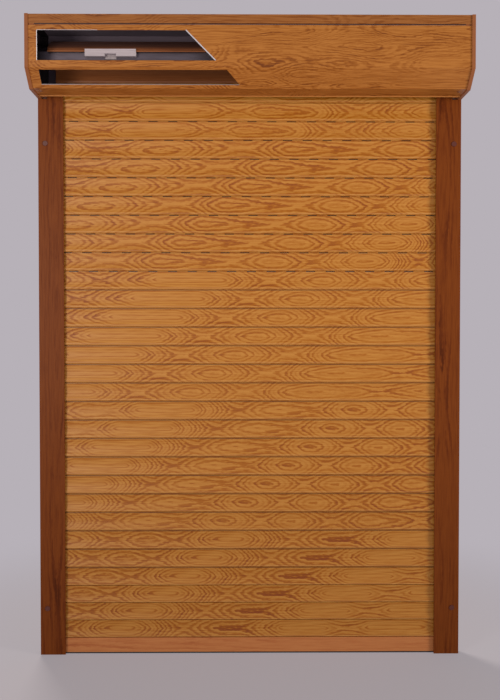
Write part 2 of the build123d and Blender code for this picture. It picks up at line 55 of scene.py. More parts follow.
# Sizes of the shutter that the fine pieces repeat, millimetres
SLAT_COUNT = 30
SLAT_PITCH = 39.9
SLAT_PLAY = 2.3
SLAT_FRONT = 3.6
SLAT_REAR = 5.0
BEAD_R = 1.5
SOCKET_R = 1.8
WALL_R = 2.9
WEB_HALF = 0.45
LIP_X = 0.8
FRONT_EDGE = 0.3
LEDGE_DROP = 3.1
REAR_LEDGE_DROP = 5.5
SWELL_HEIGHT = 6.4
SWELL_SHARES = (0.5, 0.8)  # where the swell is full and where it runs out
SWELL_FALL = 0.16
SWELL_FOOT = 0.6
LIP_ROUND = (0.25, 0.45)
FRONT_HOLLOW = 1.8
REAR_SOCKET = 5.0
EDGE_ROUND = 0.35
EDGE_MIDDLE = 0.1
SLOT_LENGTH = 19.5
SLOT_PITCH = 42.3
SLOT_COUNT = 19
SLOT_TOP = 0.7  # upper edge of a light slot below the joint
SLOT_STEP_SHARE = 0.382  # how far the slots move on from slat to slat
# Slats whose slots show: higher up they hide in the joint, lower down the web is plain
OPEN_SLATS = range(20, 29)
WEB_SHADE = 0.25  # share of painted shade on the web between the slots
PLAIN_SHADE = 0.6  # the same on a plain web
CREST_HEIGHT = 2.4  # painted highlight: a pale line on the lower lip above the joint
CREST_HALF = 1.7
CREST_FLAT = 0.3
CREST_HIGHLIGHT = 0.16
FOIL_STEP = -47.0  # shift of the printed foil from one slat to the next one up
FOIL_ROLLS = (0.0, 611.0, 1340.0, 205.0, 980.0)  # a new stretch of foil every few slats
SLATS_A_ROLL = 7
BOX_DEPTH = 141.0
BOX_HEIGHT = 139.4
SLOPE_HEIGHT = 33.0
SLOPE_DEPTH = 41.0
RIM = 2.0
TOP_RIM = 0.4
SHEET = 1.2
TOP_LIP = 18.0
TUCK = 10.6
GROOVE_DROP = 1.7  # the open joint between the lip and the cover
GROOVE_HALF = 0.55
HEM_SKIN = 0.15
FOLD_SHARE = -0.8  # how the print runs on over a fold, per millimetre of depth
CAP_SKIN = 1.0
CAP_FOOT = 8.0  # height up to which a cap keeps its enamel inside, above it painted shade
CAP_LIP = (2.0, 4.0, 5.0)  # a cap's edge at the groove: middle, half height and depth
# painted shade on the wound foil: how far it rises and how strong it gets
SHADE_RISE = 13.0
SHADE_SHARE = 0.8
WINDOW_INSET = 24.6  # upper window in the cover, from the cap's outer face
WINDOW_DROP = 32.3
WINDOW_TOP = 295.8
WINDOW_SLANT = 59.1
WINDOW_HEIGHT = 59.9
SLOPE_WINDOW = (26.5, 428.0)  # ends of the lower window's lower edge, from the same face
SLOPE_WINDOW_FOOT = 40.9  # that edge, down the slope from the fold
BARE_TOP = 120.0  # length of bare metal along the upper window's top edge
BARE_WIDTH = {"left": 0.96, "top": 0.64, "slant": 2.08, "low": 1.12}
BARE_RISE = 0.06
SCREW_R = 3.5
COVER_SCREW_RISE = 1.6
COVER_SCREW_INSET = 19.5
COVER_SCREW_Y = -80.0
BRACKET_SCREW_RISE = 2.0
BRACKET_SCREW_HALF = 21.0

cap_low, cap_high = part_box("end_cap_left")
top_mm = cap_high.z / MM
box_mm = top_mm - BOX_HEIGHT
half_width = cap_low.x / -MM
foot_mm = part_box("guide_rail_left")[0].z / MM
sheet_top = top_mm - TOP_RIM
sheet_front = RIM - BOX_DEPTH
slope_run = sqrt(SLOPE_HEIGHT ** 2 + SLOPE_DEPTH ** 2)


# Pieces

def piece(name, mesh, finish, body):
    """Puts a finished mesh into the scene, on the body that carries it."""
    thing = bpy.data.objects.new(name, mesh)
    scene.collection.objects.link(thing)
    mesh.materials.append(finish)
    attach(thing, body)
    return thing


def closed_mesh(name, bm, crease_deg):
    """Turns a built shell into a mesh with smooth faces and sharp folds."""
    bmesh.ops.remove_doubles(bm, verts=bm.verts, dist=1e-7)
    bmesh.ops.recalc_face_normals(bm, faces=bm.faces)
    mesh = bpy.data.meshes.new(name)
    bm.to_mesh(mesh)
    bm.free()
    for face in mesh.polygons:
        face.use_smooth = True
    mesh.set_sharp_from_angle(angle=radians(crease_deg))
    return mesh


def arc(start, middle, end, steps):
    """Points on the circle through three points, the first left out."""
    (ax, ay), (bx, by), (cx, cy) = start, middle, end
    d = 2 * (ax * (by - cy) + bx * (cy - ay) + cx * (ay - by))
    a2, b2, c2 = ax * ax + ay * ay, bx * bx + by * by, cx * cx + cy * cy
    ox = (a2 * (by - cy) + b2 * (cy - ay) + c2 * (ay - by)) / d
    oy = (a2 * (cx - bx) + b2 * (ax - cx) + c2 * (bx - ax)) / d
    first, via, last = (atan2(y - oy, x - ox) for x, y in (start, middle, end))
    turn = (last - first) % (2 * pi)
    if (via - first) % (2 * pi) > turn:
        turn -= 2 * pi
    r = sqrt((ax - ox) ** 2 + (ay - oy) ** 2)
    angles = [first + turn * i / steps for i in range(1, steps + 1)]
    return [(ox + r * cos(t), oy + r * sin(t)) for t in angles]


def slat_outline():
    """Rolled slat about its lower joint: outline, corners of the light slot, start of the socket."""
    ledge = SLAT_PITCH - LEDGE_DROP
    rear_ledge = SLAT_PITCH - REAR_LEDGE_DROP
    slot_high = SLAT_PITCH - SLOT_TOP
    slot_half = sqrt(BEAD_R ** 2 - SLOT_TOP ** 2)
    bead_foot = SLAT_PITCH - sqrt(BEAD_R ** 2 - WEB_HALF ** 2)
    lip_low = -sqrt(WALL_R ** 2 - LIP_X ** 2)
    lip_high = -sqrt(SOCKET_R ** 2 - LIP_X ** 2)
    slant = sqrt(0.5)
    full, run_out = (SWELL_HEIGHT * share for share in SWELL_SHARES)
    out, up = LIP_ROUND
    points = [(-SOCKET_R, FRONT_EDGE), (-WALL_R + EDGE_ROUND, FRONT_EDGE)]
    points += arc(points[-1], (-WALL_R - out, FRONT_EDGE + up), (-SLAT_FRONT, full), 6)
    swell_end = (-WALL_R, SWELL_HEIGHT + SWELL_FOOT)
    points += arc(points[-1], (-SLAT_FRONT + SWELL_FALL, run_out), swell_end, 8)
    hollow = (FRONT_HOLLOW - WALL_R, (ledge + SWELL_HEIGHT) / 2)
    points += arc(points[-1], hollow, (-WALL_R, ledge - EDGE_ROUND), 22)
    front_edge = (-WALL_R + EDGE_MIDDLE, ledge - EDGE_MIDDLE)
    points += arc(points[-1], front_edge, (-WALL_R + EDGE_ROUND, ledge), 3)
    points += [(-WEB_HALF, ledge)]
    front_low = len(points) - 1
    points += [(-WEB_HALF, bead_foot)]
    points += arc(points[-1], (-BEAD_R * slant, SLAT_PITCH - BEAD_R * slant), (-slot_half, slot_high), 3)
    front_high = len(points) - 1
    points += arc(points[-1], (0, SLAT_PITCH + BEAD_R), (slot_half, slot_high), 12)
    rear_high = len(points) - 1
    points += arc(points[-1], (BEAD_R * slant, SLAT_PITCH - BEAD_R * slant), (WEB_HALF, bead_foot), 3)
    points += [(WEB_HALF, ledge)]
    rear_low = len(points) - 1
    points += [(WEB_HALF, rear_ledge), (WALL_R - EDGE_ROUND, rear_ledge)]
    rear_edge = (WALL_R - EDGE_MIDDLE, rear_ledge - EDGE_MIDDLE)
    points += arc(points[-1], rear_edge, (WALL_R, rear_ledge - EDGE_ROUND), 2)
    points += arc(points[-1], (SLAT_REAR, (rear_ledge + REAR_SOCKET) / 2), (WALL_R, REAR_SOCKET), 16)
    points += [(WALL_R, 0)]
    points += arc(points[-1], (WALL_R * slant, -WALL_R * slant), (LIP_X, lip_low), 6)
    socket = len(points) - 1
    points += [(LIP_X, lip_high)]
    points += arc(points[-1], (SOCKET_R * slant, -SOCKET_R * slant), (SOCKET_R, 0), 5)
    points += [(SOCKET_R, SLAT_PLAY)]
    points += arc(points[-1], (0, SLAT_PLAY + SOCKET_R), (-SOCKET_R, SLAT_PLAY), 10)
    return points, (front_low, front_high, rear_high, rear_low), socket


def rolled_slat(number, finish):
    """One slat of the curtain with its row of light slots, in place of the plain solid."""
    node_name = f"slat_{number:02d}"
    low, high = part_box(node_name)
    joint = low.z / MM + WALL_R
    curtain_y = low.y / MM + SLAT_FRONT
    outline, (front_low, front_high, rear_high, rear_low), socket = slat_outline()
    count = len(outline)
    shift = (number * SLOT_STEP_SHARE % 1 - 0.5) * (SLOT_PITCH - SLOT_LENGTH)
    stations = [low.x / MM]
    for i in range(SLOT_COUNT):
        slot_x = shift + (i - (SLOT_COUNT - 1) / 2) * SLOT_PITCH
        stations += [slot_x - SLOT_LENGTH / 2, slot_x + SLOT_LENGTH / 2]
    stations += [high.x / MM]
    foil_start = number * FOIL_STEP + FOIL_ROLLS[number // SLATS_A_ROLL % len(FOIL_ROLLS)]

    bm = bmesh.new()
    foil = bm.verts.layers.float_vector.new("foil")
    # painted shade: how much dark brown each face gets in the joints, light slots and socket
    joint_shade = bm.faces.layers.float.new("joint_shade")
    rings = []
    for x in stations:
        ring = []
        for y, z in outline:
            vert = bm.verts.new((x * MM, (curtain_y + y) * MM, (joint + z) * MM))
            vert[foil] = (x + foil_start, z, number)
            ring.append(vert)
        rings.append(ring)
    open_edges = set(range(front_low, front_high)) | set(range(rear_high, rear_low))
    rim = list(range(front_low, front_high + 1)) + list(range(rear_high, rear_low + 1))
    web_shade = WEB_SHADE if number >= OPEN_SLATS.start else PLAIN_SHADE
    for k, (a, b) in enumerate(zip(rings, rings[1:])):
        slotted = k % 2 == 1 and number in OPEN_SLATS
        for i in range(count):
            j = (i + 1) % count
            if not (slotted and i in open_edges):
                shade = web_shade if i in open_edges else float(i >= socket)
                bm.faces.new((a[i], a[j], b[j], b[i]))[joint_shade] = shade
        if slotted:
            bm.faces.new((a[front_low], a[rear_low], b[rear_low], b[front_low]))[joint_shade] = 1.0
            bm.faces.new((a[front_high], a[rear_high], b[rear_high], b[front_high]))[joint_shade] = 1.0
            bm.faces.new([a[i] for i in rim])[joint_shade] = 1.0
            bm.faces.new([b[i] for i in rim])[joint_shade] = 1.0
    bm.faces.new(rings[0])
    bm.faces.new(rings[-1])
    mesh = closed_mesh(node_name, bm, 40)
    slat = piece(f"curtain_slat_{number:02d}", mesh, finish, node_name)
    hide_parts(node_name)
    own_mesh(slat)


def cut_edge(name, start, end, away, outward, bare, finish):
    """Bare metal along a sawn edge of the cover: a narrow strip on the face and the cut wall behind it."""
    skin = Vector(outward).normalized()
    aside = Vector(away).normalized()
    face = aside * bare + skin * BARE_RISE / 2
    nose = skin * BARE_RISE - aside * BARE_RISE
    section = (face, nose, nose - skin * SHEET, skin * -SHEET, aside * bare)
    bm = bmesh.new()
    rings = [[bm.verts.new((Vector(spot) + step) * MM) for step in section] for spot in (start, end)]
    for i in range(len(section)):
        j = (i + 1) % len(section)
        bm.faces.new((rings[0][i], rings[0][j], rings[1][j], rings[1][i]))
    for ring in rings:
        bm.faces.new(ring)
    piece(name, closed_mesh(name, bm, 20), finish, "frame")


def cross_screws(name, places, facing, head_r, rise, finish):
    """Pan-head screws with a cross recess: places in millimetres, heads facing one way."""
    sides = 24
    # half outline of a head in shares of its radius and rise, and the cross in shares of the radius
    profile = ((1.0, 0.0), (1.0, 0.25), (0.93, 0.55), (0.78, 0.82), (0.55, 0.97), (0.42, 1.0))
    arm, half, floor_share = 0.40, 0.09, 0.55
    cross = [(arm, -half), (arm, half), (half, half), (half, arm), (-half, arm), (-half, half),
             (-arm, half), (-arm, -half), (-half, -half), (-half, -arm), (half, -arm), (half, -half)]
    circle = [(cos(2 * pi * i / sides), sin(2 * pi * i / sides)) for i in range(sides)]
    turn = Vector((0, 0, 1)).rotation_difference(Vector(facing)).to_matrix().to_4x4()
    bm = bmesh.new()
    for spot in places:
        size = Matrix.Diagonal((head_r * MM, head_r * MM, rise * MM, 1))
        at = Matrix.Translation(Vector(spot) * MM) @ turn @ size
        rings = []
        for reach, lift in profile:
            rings.append([bm.verts.new(at @ Vector((x * reach, y * reach, lift))) for x, y in circle])
        upper, lower = ([bm.verts.new(at @ Vector((x, y, lift))) for x, y in cross]
                        for lift in (1.0, floor_share))
        for a, b in list(zip(rings, rings[1:])) + [(upper, lower)]:
            for i in range(len(a)):
                j = (i + 1) % len(a)
                bm.faces.new((a[i], a[j], b[j], b[i]))
        bm.faces.new(rings[0])
        bm.faces.new(lower)
        edges = [bm.edges.get((loop[i - 1], loop[i]))
                 for loop in (rings[-1], upper) for i in range(len(loop))]
        bmesh.ops.triangle_fill(bm, edges=edges, use_beauty=True)
    piece(name, closed_mesh(name, bm, 35), finish, "frame")


# Finishes

def tint(code):
    """sRGB hex value as a linear colour."""
    values = [int(code[i:i + 2], 16) / 255 for i in (1, 3, 5)]
    return tuple(v / 12.92 if v <= 0.04045 else ((v + 0.055) / 1.055) ** 2.4 for v in values) + (1.0,)


def node(tree, kind, inputs, out=0, **settings):
    """Adds one node with its settings, values and links, and gives one of its outputs."""
    made = tree.nodes.new(kind)
    for key, value in settings.items():
        setattr(made, key, value)
    for key, value in inputs.items():
        if isinstance(value, bpy.types.NodeSocket):
            tree.links.new(value, made.inputs[key])
        else:
            made.inputs[key].default_value = value
    return made.outputs[out]


def new_finish(name, colour, roughness, metallic=0.0, ior=1.5):
    """New material, its node tree and its surface shader."""
    made = bpy.data.materials.new(name)
    made.use_nodes = True
    made.diffuse_color = tint(colour)
    shader = made.node_tree.nodes["Principled BSDF"].inputs
    shader["Base Color"].default_value = tint(colour)
    shader["Roughness"].default_value = roughness
    shader["Metallic"].default_value = metallic
    if metallic == 0.0:
        shader["IOR"].default_value = ior
    return made, made.node_tree, shader


EVEN = 1e6  # a length so long that a pattern stays even over the shutter
ONE_HEART = 1e4  # a spacing so wide that a piece shows one heart only
CLOUD_STEP = 7.3  # keeps one cloud of noise apart from the next
CLOUD_SPAN = (0.3, 0.7)  # noise seldom leaves this span
EYE_FULL = 0.71  # noise at which the cut lies furthest from the heart
PORE_LEVEL = 0.44
LATE_WOOD = ((0.25, 0.06), (0.52, 0.6), (0.75, 1.0), (0.92, 0.5))  # darkness across one ring
RING_EDGE = 0.08
FOIL_ROUGH = 0.44
FOIL_ROUGH_SPAN = (0.40, 0.50)  # from pale to dark grain
PRESS_MM = 0.12  # depth of the pressed grain


def oak_print(tree, spot, look):
    """Printed flat-sawn oak at a spot (along, across, board) in millimetres: colour and darkness.

    Rings of a log cut lengthwise: the cut runs nearer to the heart and away from it, so that
    the rings close into pointed eyes and stacked arrows with strong tips and thin flanks.
    """
    cloud_mm = {
        "heart": (look["heart_mm"], EVEN, 1.0, 1.0),
        "eye": (look["eye_mm"], look["eye_wide_mm"], 1.0, 0.5),
        "ripple": (36.0, 9.0, 1.0, 2.0), "jag": (12.0, 4.0, 1.0, 1.0),
        # pores are drawn nearly 2 mm wide so that they show
        "pore": (46.0, 1.8, 1.0, 2.0), "fade": (120.0, 22.0, 1.0, 1.0)}
    cloud = {}
    for turn, (name, (long, wide, board, detail)) in enumerate(cloud_mm.items()):
        at = node(tree, "ShaderNodeVectorMath", {
            0: spot, 1: (1 / long, 1 / wide, board), 2: (0.0, 0.0, CLOUD_STEP * turn)},
            operation="MULTIPLY_ADD")
        cloud[name] = node(tree, "ShaderNodeTexNoise", {"Vector": at, "Scale": 1.0, "Detail": detail})
    across = node(tree, "ShaderNodeSeparateXYZ", {0: spot}, 1)
    middle = (look["heart_swing_mm"] - look["ripple_mm"]) / 2 - look["heart_at_mm"]
    offset = node(tree, "ShaderNodeMath", {0: across, 1: middle}, operation="ADD")
    offset = node(tree, "ShaderNodeMath", {0: cloud["heart"], 1: -look["heart_swing_mm"], 2: offset},
                  operation="MULTIPLY_ADD")
    offset = node(tree, "ShaderNodeMath", {0: cloud["ripple"], 1: look["ripple_mm"], 2: offset},
                  operation="MULTIPLY_ADD")
    depth = node(tree, "ShaderNodeMapRange", {
        "Value": cloud["eye"], "From Min": look["eye_share"], "From Max": EYE_FULL,
        "To Min": -look["jag_mm"] / 2, "To Max": look["depth_mm"] - look["jag_mm"] / 2}, clamp=False)
    depth = node(tree, "ShaderNodeMath", {0: cloud["jag"], 1: look["jag_mm"], 2: depth},
                 operation="MULTIPLY_ADD")
    # distance to the nearest of the hearts that lie side by side on a wide sheet
    offset = node(tree, "ShaderNodeMath", {0: offset, 1: look["hearts_mm"] / 2}, operation="PINGPONG")
    depth = node(tree, "ShaderNodeMath", {0: depth, 1: 0.0}, operation="MAXIMUM")
    powers = []
    for way in (offset, depth):
        powers.append(node(tree, "ShaderNodeMath", {0: way, 1: look["point"]}, operation="POWER"))
    reach = node(tree, "ShaderNodeMath", {0: powers[0], 1: powers[1]}, operation="ADD")
    tip = node(tree, "ShaderNodeMath", {0: powers[1], 1: reach}, operation="DIVIDE")
    tip = node(tree, "ShaderNodeMapRange", {"Value": tip, "To Min": look["flank"], "To Max": 1.0})
    radius = node(tree, "ShaderNodeMath", {0: reach, 1: 1 / look["point"]}, operation="POWER")
    ring = node(tree, "ShaderNodeMath", {0: radius, 1: look["ring_mm"]}, operation="DIVIDE")
    year = node(tree, "ShaderNodeMath", {0: ring}, operation="FLOOR")
    year = node(tree, "ShaderNodeTexWhiteNoise", {"W": year}, noise_dimensions="1D")
    year = node(tree, "ShaderNodeMapRange", {"Value": year, "To Min": look["year_low"], "To Max": 1.0})
    # late wood: a soft rise to the dark line, a quick fall behind it
    line = node(tree, "ShaderNodeFloatCurve", {
        "Value": node(tree, "ShaderNodeMath", {0: ring}, operation="FRACT")})
    curve = line.node.mapping.curves[0]
    for place, value in LATE_WOOD:
        curve.points.new(place, value)
    curve.points[0].location = (0.0, RING_EDGE)
    curve.points[-1].location = (1.0, RING_EDGE)
    line.node.mapping.update()
    fade = node(tree, "ShaderNodeMapRange", {
        "Value": cloud["fade"], "From Min": CLOUD_SPAN[0], "From Max": CLOUD_SPAN[1],
        "To Min": look["line_low"], "To Max": 1.0})
    dark = line
    for share in (tip, year, fade):
        dark = node(tree, "ShaderNodeMath", {0: dark, 1: share}, operation="MULTIPLY")
    pore = node(tree, "ShaderNodeMath", {0: cloud["pore"], 1: PORE_LEVEL}, operation="SUBTRACT")
    dark = node(tree, "ShaderNodeMath", {0: pore, 1: look["pore_share"], 2: dark},
                operation="MULTIPLY_ADD", use_clamp=True)
    colour = node(tree, "ShaderNodeValToRGB", {"Fac": dark})
    band = colour.node.color_ramp
    band.elements.new(0.5)
    for element, (place, code) in zip(band.elements, look["stops"]):
        element.position = place
        element.color = tint(code)
    return colour, dark


def foil_skin(tree, shader, colour, dark, gloss):
    """Satin lacquer over the print, pressed lightly along the dark grain."""
    tree.links.new(colour, shader["Base Color"])
    shader["Specular IOR Level"].default_value = gloss
    rough = node(tree, "ShaderNodeMapRange", {
        "Value": dark, "To Min": FOIL_ROUGH_SPAN[0], "To Max": FOIL_ROUGH_SPAN[1]})
    tree.links.new(rough, shader["Roughness"])
    press = node(tree, "ShaderNodeBump", {"Height": dark, "Distance": PRESS_MM * MM, "Strength": 0.6},
                 invert=True)
    tree.links.new(press, shader["Normal"])


def rest_place(tree):
    """Place on the resting shutter in millimetres."""
    place = node(tree, "ShaderNodeTexCoord", {}, "Object")
    return node(tree, "ShaderNodeVectorMath", {0: place, "Scale": 1 / MM}, operation="SCALE")


def inside_box(tree, place):
    """1 on the faces that look into the box, 0 on the outer ones: place as X, Y and Z sockets."""
    half = SHEET / 2
    ny, nz = SLOPE_HEIGHT / slope_run, SLOPE_DEPTH / slope_run
    slope_at = -BOX_DEPTH * ny + (box_mm + SLOPE_HEIGHT) * nz + RIM + half
    walls = ((1.0, 0.0, -sheet_front - half), (0.0, 1.0, -box_mm - RIM - half), (ny, nz, -slope_at),
             (-1.0, 0.0, -RIM - half), (0.0, -1.0, sheet_top - half))
    least = half_width
    for along_y, along_z, start in walls:
        reach = node(tree, "ShaderNodeMath", {0: place["Y"], 1: along_y, 2: start}, operation="MULTIPLY_ADD")
        reach = node(tree, "ShaderNodeMath", {0: place["Z"], 1: along_z, 2: reach}, operation="MULTIPLY_ADD")
        least = node(tree, "ShaderNodeMath", {0: reach, 1: least}, operation="MINIMUM")
    return node(tree, "ShaderNodeMath", {0: least, 1: 0.0}, operation="GREATER_THAN")


# Oak as printed on each piece: lengths in millimetres, the rest in shares
OAK = {
    # heart line: its place across the piece, its swing, the length of a swing, the spacing of hearts
    "heart_at_mm": 19.0, "heart_swing_mm": 14.0, "heart_mm": 300.0, "hearts_mm": ONE_HEART,
    # eyes: length, width, depth of the cut, noise at which the cut meets the heart, how pointed they end
    "eye_mm": 170.0, "eye_wide_mm": EVEN, "depth_mm": 58.0, "eye_share": 0.36, "point": 1.35,
    # rings: spacing, waves, jags, strength on the flanks, of the palest year and of faded lines
    "ring_mm": 5.8, "ripple_mm": 3.2, "jag_mm": 5.0, "flank": 0.4, "year_low": 0.3, "line_low": 0.5,
    # pores, gloss of the lacquer, tones from early to late wood
    "pore_share": 1.2, "gloss": 0.4,
    "stops": ((0.0, "#bb7f35"), (0.45, "#a25e0a"), (1.0, "#833d00"))}
BOX_OAK = dict(
    OAK, heart_at_mm=box_mm + 219.0, heart_swing_mm=20.0, hearts_mm=61.5,
    eye_mm=150.0, eye_wide_mm=90.0, depth_mm=44.0, point=1.3,
    ring_mm=4.8, ripple_mm=6.0, flank=0.7, year_low=0.2, line_low=0.3, pore_share=1.6, gloss=0.35,
    stops=((0.0, "#b17130"), (0.5, "#935312"), (1.0, "#6e3500")))
# a darker copy of the cover's print for the top sheet: painted shade on its lip
BACK_OAK = dict(BOX_OAK, stops=((0.0, "#9a602c"), (0.5, "#804610"), (1.0, "#602d00")))
RAIL_OAK = dict(
    OAK, heart_at_mm=430.0, heart_swing_mm=26.0, heart_mm=520.0,
    eye_mm=330.0, depth_mm=24.0, eye_share=0.29, point=1.6,
    ring_mm=7.2, ripple_mm=4.0, year_low=0.2, line_low=0.1, gloss=0.1,
    stops=((0.0, "#753a12"), (0.5, "#622b0a"), (1.0, "#4c1e04")))
BAR_OAK = dict(RAIL_OAK, heart_at_mm=foot_mm + 40.0, gloss=0.4,
               stops=((0.0, "#c07a45"), (0.5, "#b16735"), (1.0, "#9d5425")))
WOUND_OAK = dict(BAR_OAK, stops=((0.0, "#9a5c33"), (0.5, "#8b4d26"), (1.0, "#793d1a")))


def slat_foil():
    """Wood-print foil on roll-formed aluminium: satin, golden, with eyes and arrows along each slat.

    Dark brown is painted as shade inside the joints, the light slots and the socket, so they read as dark
    lines.
    """
    made, tree, shader = new_finish("Oak print foil on rolled aluminium", "#ae6d32", FOIL_ROUGH)
    print_at = node(tree, "ShaderNodeAttribute", {}, "Vector",
                    attribute_name="foil", attribute_type="GEOMETRY")
    parts = node(tree, "ShaderNodeSeparateXYZ", {0: print_at}).node.outputs
    roll = node(tree, "ShaderNodeMath", {0: parts["Z"], 1: SLATS_A_ROLL}, operation="DIVIDE")
    roll = node(tree, "ShaderNodeMath", {0: roll}, operation="FLOOR")
    spot = node(tree, "ShaderNodeCombineXYZ", {"X": parts["X"], "Y": parts["Y"], "Z": roll})
    colour, dark = oak_print(tree, spot, OAK)
    # painted shade: dark brown in the joints, light slots and socket
    joint_shade = node(tree, "ShaderNodeAttribute", {}, "Fac",
                   attribute_name="joint_shade", attribute_type="GEOMETRY")
    # painted highlight: a pale line along the crest of the lower lip
    crest_highlight = node(tree, "ShaderNodeMath", {0: parts["Y"], 1: CREST_HEIGHT}, operation="SUBTRACT")
    crest_highlight = node(tree, "ShaderNodeMath", {0: crest_highlight}, operation="ABSOLUTE")
    crest_highlight = node(tree, "ShaderNodeMapRange", {
        "Value": crest_highlight, "From Min": CREST_FLAT, "From Max": CREST_HALF, "To Min": CREST_HIGHLIGHT, "To Max": 0.0})
    colour = node(tree, "ShaderNodeMix", {0: crest_highlight, 6: colour, 7: tint("#dcae7c")}, 2, data_type="RGBA")
    colour = node(tree, "ShaderNodeMix", {0: joint_shade, 6: colour, 7: tint("#5b3d2a")}, 2, data_type="RGBA")
    foil_skin(tree, shader, colour, dark, OAK["gloss"])
    return made


def sheet_foil(name, look):
    """The print on folded aluminium sheet: oak outside, dull bare metal inside, painted shade in the groove
    under the lip, a painted highlight on the hem.
    """
    made, tree, shader = new_finish(name, look["stops"][1][1], FOIL_ROUGH)
    place = rest_place(tree)
    parts = node(tree, "ShaderNodeSeparateXYZ", {0: place}).node.outputs
    # the print runs on round the folds
    across = node(tree, "ShaderNodeMath", {0: parts["Y"], 1: FOLD_SHARE, 2: parts["Z"]},
                  operation="MULTIPLY_ADD")
    spot = node(tree, "ShaderNodeCombineXYZ", {"X": parts["X"], "Y": across})
    colour, dark = oak_print(tree, spot, look)
    inside = inside_box(tree, parts)
    colour = node(tree, "ShaderNodeMix", {0: inside, 6: colour, 7: tint("#857784")}, 2, data_type="RGBA")
    outside = node(tree, "ShaderNodeMath", {0: 1.0, 1: inside}, operation="SUBTRACT")
    dark = node(tree, "ShaderNodeMath", {0: dark, 1: outside}, operation="MULTIPLY")
    # painted shade in the groove between the lip and the cover tucked behind it
    tuck_low = sheet_top - TOP_LIP - GROOVE_DROP
    deep = node(tree, "ShaderNodeMath", {0: parts["Y"], 1: sheet_front + SHEET, 2: GROOVE_HALF},
                operation="COMPARE")
    level = node(tree, "ShaderNodeMath", {0: parts["Z"], 1: tuck_low + TUCK / 2, 2: TUCK / 2},
                 operation="COMPARE")
    groove_shade = node(tree, "ShaderNodeMath", {0: deep, 1: level}, operation="MULTIPLY")
    colour = node(tree, "ShaderNodeMix", {0: groove_shade, 6: colour, 7: tint("#3f2318")}, 2, data_type="RGBA")
    # painted highlight on the hem under the cover
    hem_highlight = node(tree, "ShaderNodeMath", {0: parts["Z"], 1: box_mm + RIM - HEM_SKIN}, operation="LESS_THAN")
    colour = node(tree, "ShaderNodeMix", {0: hem_highlight, 6: colour, 7: tint("#bd7d40")}, 2, data_type="RGBA")
    foil_skin(tree, shader, colour, dark, look["gloss"])
    return made


def extrusion_foil(name, look, upright, shade_mm=None):
    """The print on an extruded rail or bar: plainer, redder, running along the piece.

    On the roll, painted shade between two levels darkens it towards the top.
    """
    made, tree, shader = new_finish(name, look["stops"][1][1], FOIL_ROUGH)
    place = rest_place(tree)
    parts = node(tree, "ShaderNodeSeparateXYZ", {0: place}).node.outputs
    along, across = ("Z", "X") if upright else ("X", "Z")
    width, board = parts[across], 0.0
    if upright:  # the left and the right rail are two boards
        width = node(tree, "ShaderNodeMath", {0: width}, operation="ABSOLUTE")
        board = node(tree, "ShaderNodeMath", {0: parts["X"]}, operation="SIGN")
    width = node(tree, "ShaderNodeMath", {0: parts["Y"], 1: FOLD_SHARE, 2: width}, operation="MULTIPLY_ADD")
    spot = node(tree, "ShaderNodeCombineXYZ", {"X": parts[along], "Y": width, "Z": board})
    colour, dark = oak_print(tree, spot, look)
    if shade_mm:
        # painted shade: darker towards the top of the roll
        top_shade = node(tree, "ShaderNodeMapRange", {
            "Value": parts["Z"], "From Min": shade_mm[0], "From Max": shade_mm[1], "To Max": SHADE_SHARE})
        colour = node(tree, "ShaderNodeMix", {0: top_shade, 6: colour, 7: tint("#2b2124")}, 2, data_type="RGBA")
    foil_skin(tree, shader, colour, dark, look["gloss"])
    return made


def flecked(name, base, fleck, grain_mm, roughness, metallic=0.0, ior=1.5, bump_mm=0.02,
            stretch=(1, 1, 1)):
    """Moulded, lacquered or rolled finish with a fine fleck of a second tone in its colour and gloss."""
    made, tree, shader = new_finish(name, base, roughness, metallic, ior)
    place = rest_place(tree)
    per_mm = tuple(way / grain_mm for way in stretch)
    at = node(tree, "ShaderNodeVectorMath", {0: place, 1: per_mm}, operation="MULTIPLY")
    grain = node(tree, "ShaderNodeTexNoise", {"Vector": at, "Scale": 1.0, "Detail": 3.0, "Roughness": 0.55})
    share = node(tree, "ShaderNodeMapRange", {
        "Value": grain, "From Min": CLOUD_SPAN[0], "From Max": CLOUD_SPAN[1]})
    colour = node(tree, "ShaderNodeMix", {0: share, 6: tint(base), 7: tint(fleck)}, 2, data_type="RGBA")
    tree.links.new(colour, shader["Base Color"])
    rough = node(tree, "ShaderNodeMapRange", {
        "Value": share, "To Min": roughness - 0.05, "To Max": roughness + 0.06})
    tree.links.new(rough, shader["Roughness"])
    dent = node(tree, "ShaderNodeBump", {"Height": share, "Distance": bump_mm * MM, "Strength": 0.5})
    tree.links.new(dent, shader["Normal"])
    return made


